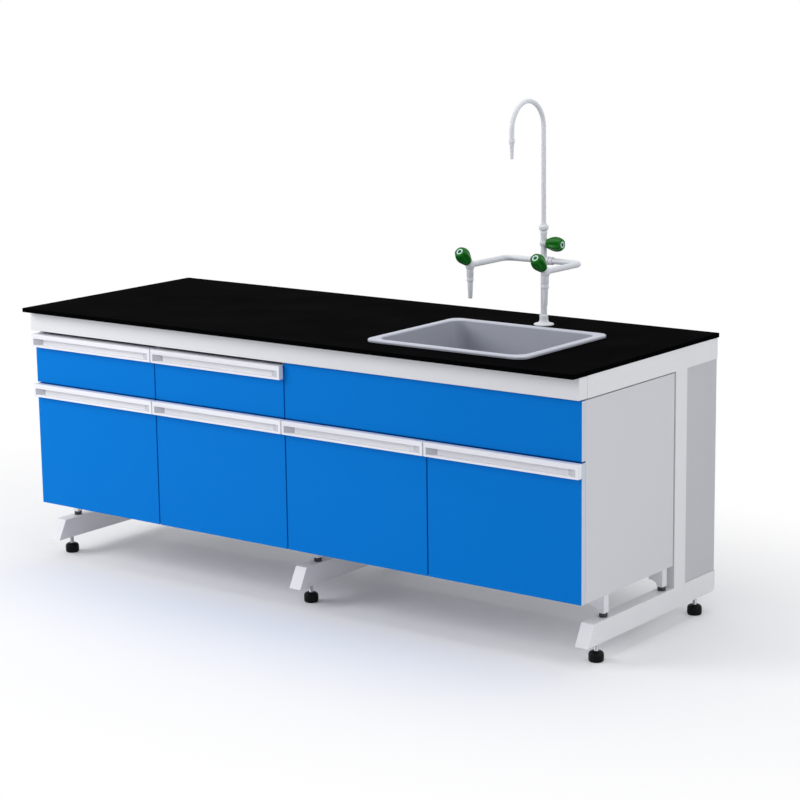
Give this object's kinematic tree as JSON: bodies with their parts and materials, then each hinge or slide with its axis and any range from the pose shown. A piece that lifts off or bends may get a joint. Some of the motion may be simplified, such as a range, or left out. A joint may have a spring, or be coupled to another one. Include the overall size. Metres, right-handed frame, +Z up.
{
  "type": "laboratory_sink_unit",
  "caption": "Laboratory sink bench: black worktop on white steel C-frames, blue cabinet fronts with white pull handles, grey drop-in sink and a laboratory tap with green knobs",
  "frame": {"origin": "on the floor under the middle of the worktop", "axes": "+X along the bench to the right, +Y to the back, +Z up"},
  "size_m": [2, 0.75, 1.4493],
  "materials": {
    "black_worktop": "chemical-resistant black laboratory board, fine satin surface",
    "white_frame": "white powder-coated steel tube",
    "grey_panel": "light grey coated sheet",
    "grey_board": "light grey melamine-faced board",
    "blue_front": "blue melamine-faced board with a thin edge band",
    "white_handle": "white moulded pull with a finger recess",
    "black_pad": "black coated steel pad on a zinc stud",
    "zinc_steel": "zinc-plated steel",
    "grey_sink": "grey moulded polypropylene",
    "white_pipe": "white polypropylene waste pipe",
    "white_tap": "light grey epoxy-coated brass",
    "green_knob": "dark green moulded plastic"
  },
  "bodies": {
    "unit": {"worktop": "black_worktop", "leg_frame_left": "white_frame", "leg_frame_middle": "white_frame", "leg_frame_right": "white_frame", "front_rail": "white_frame", "rear_rail": "white_frame", "end_panel_left": "grey_panel", "end_panel_right": "grey_panel", "left_cabinet_left_side": "grey_board", "left_cabinet_right_side": "grey_board", "left_cabinet_bottom": "grey_board", "left_cabinet_back": "grey_board", "left_cabinet_partition": "grey_board", "right_cabinet_left_side": "grey_board", "right_cabinet_right_side": "grey_board", "right_cabinet_bottom": "grey_board", "right_cabinet_back": "grey_board", "sink_apron": "blue_front", "left_cabinet_left_door_upper_hinge_arm": "zinc_steel", "left_cabinet_left_door_lower_hinge_arm": "zinc_steel", "left_cabinet_right_door_upper_hinge_arm": "zinc_steel", "left_cabinet_right_door_lower_hinge_arm": "zinc_steel", "right_cabinet_left_door_upper_hinge_arm": "zinc_steel", "right_cabinet_left_door_lower_hinge_arm": "zinc_steel", "right_cabinet_right_door_upper_hinge_arm": "zinc_steel", "right_cabinet_right_door_lower_hinge_arm": "zinc_steel", "left_drawer_runner_left": "zinc_steel", "left_drawer_runner_right": "zinc_steel", "right_drawer_runner_left": "zinc_steel", "right_drawer_runner_right": "zinc_steel", "sink_waste": "zinc_steel", "sink_bowl": "grey_sink", "bottle_trap": "white_pipe", "tap_column": "white_tap", "tap_left_arm": "white_tap", "tap_right_arm": "white_tap"},
    "left_drawer": {"left_drawer_front": "blue_front", "left_drawer_handle": "white_handle", "left_drawer_box": "grey_board"},
    "right_drawer": {"right_drawer_front": "blue_front", "right_drawer_handle": "white_handle", "right_drawer_box": "grey_board"},
    "left_cabinet_left_door": {"left_cabinet_left_door": "blue_front", "left_cabinet_left_door_handle": "white_handle"},
    "left_cabinet_right_door": {"left_cabinet_right_door": "blue_front", "left_cabinet_right_door_handle": "white_handle"},
    "right_cabinet_left_door": {"right_cabinet_left_door": "blue_front", "right_cabinet_left_door_handle": "white_handle"},
    "right_cabinet_right_door": {"right_cabinet_right_door": "blue_front", "right_cabinet_right_door_handle": "white_handle"},
    "left_knob": {"tap_left_knob": "green_knob"},
    "right_knob": {"tap_right_knob": "green_knob"},
    "spout_knob": {"tap_spout_knob": "green_knob"},
    "gooseneck": {"tap_gooseneck": "white_tap"},
    "foot_left_front": {"levelling_foot_left_front": "black_pad"},
    "foot_left_rear": {"levelling_foot_left_rear": "black_pad"},
    "foot_middle_front": {"levelling_foot_middle_front": "black_pad"},
    "foot_middle_rear": {"levelling_foot_middle_rear": "black_pad"},
    "foot_right_front": {"levelling_foot_right_front": "black_pad"},
    "foot_right_rear": {"levelling_foot_right_rear": "black_pad"}
  },
  "joints": [
    {"name": "left_drawer_slide", "type": "slide", "parent": "unit", "child": "left_drawer", "axis": [0, -1, 0], "range_m": [0, 0.3]},
    {"name": "right_drawer_slide", "type": "slide", "parent": "unit", "child": "right_drawer", "axis": [0, -1, 0], "range_m": [0, 0.3]},
    {"name": "left_cabinet_left_door_hinge", "type": "hinge", "parent": "unit", "child": "left_cabinet_left_door", "pos_m": [-0.993, -0.345, 0.37], "axis": [0, 0, -1], "range_deg": [0, 90]},
    {"name": "left_cabinet_right_door_hinge", "type": "hinge", "parent": "unit", "child": "left_cabinet_right_door", "pos_m": [-0.005, -0.345, 0.37], "axis": [0, 0, 1], "range_deg": [0, 90]},
    {"name": "right_cabinet_left_door_hinge", "type": "hinge", "parent": "unit", "child": "right_cabinet_left_door", "pos_m": [0.005, -0.345, 0.37], "axis": [0, 0, -1], "range_deg": [0, 90]},
    {"name": "right_cabinet_right_door_hinge", "type": "hinge", "parent": "unit", "child": "right_cabinet_right_door", "pos_m": [0.993, -0.345, 0.37], "axis": [0, 0, 1], "range_deg": [0, 90]},
    {"name": "left_knob_turn", "type": "hinge", "parent": "unit", "child": "left_knob", "pos_m": [0.386, 0.04, 0.986], "axis": [0, -0.7547, 0.6561], "range_deg": [0, 90]},
    {"name": "right_knob_turn", "type": "hinge", "parent": "unit", "child": "right_knob", "pos_m": [0.64, 0.04, 0.986], "axis": [0, -0.7547, 0.6561], "range_deg": [0, 90]},
    {"name": "spout_knob_turn", "type": "hinge", "parent": "unit", "child": "spout_knob", "pos_m": [0.543, 0.224, 1.035], "axis": [1, 0, 0], "range_deg": [0, 90]},
    {"name": "gooseneck_swivel", "type": "hinge", "parent": "unit", "child": "gooseneck", "pos_m": [0.513, 0.224, 1.08], "axis": [0, 0, 1], "continuous": true},
    {"name": "foot_left_front_screw", "type": "slide", "parent": "unit", "child": "foot_left_front", "axis": [0, 0, -1], "range_m": [0, 0.02]},
    {"name": "foot_left_rear_screw", "type": "slide", "parent": "unit", "child": "foot_left_rear", "axis": [0, 0, -1], "range_m": [0, 0.02]},
    {"name": "foot_middle_front_screw", "type": "slide", "parent": "unit", "child": "foot_middle_front", "axis": [0, 0, -1], "range_m": [0, 0.02]},
    {"name": "foot_middle_rear_screw", "type": "slide", "parent": "unit", "child": "foot_middle_rear", "axis": [0, 0, -1], "range_m": [0, 0.02]},
    {"name": "foot_right_front_screw", "type": "slide", "parent": "unit", "child": "foot_right_front", "axis": [0, 0, -1], "range_m": [0, 0.02]},
    {"name": "foot_right_rear_screw", "type": "slide", "parent": "unit", "child": "foot_right_rear", "axis": [0, 0, -1], "range_m": [0, 0.02]}
  ]
}
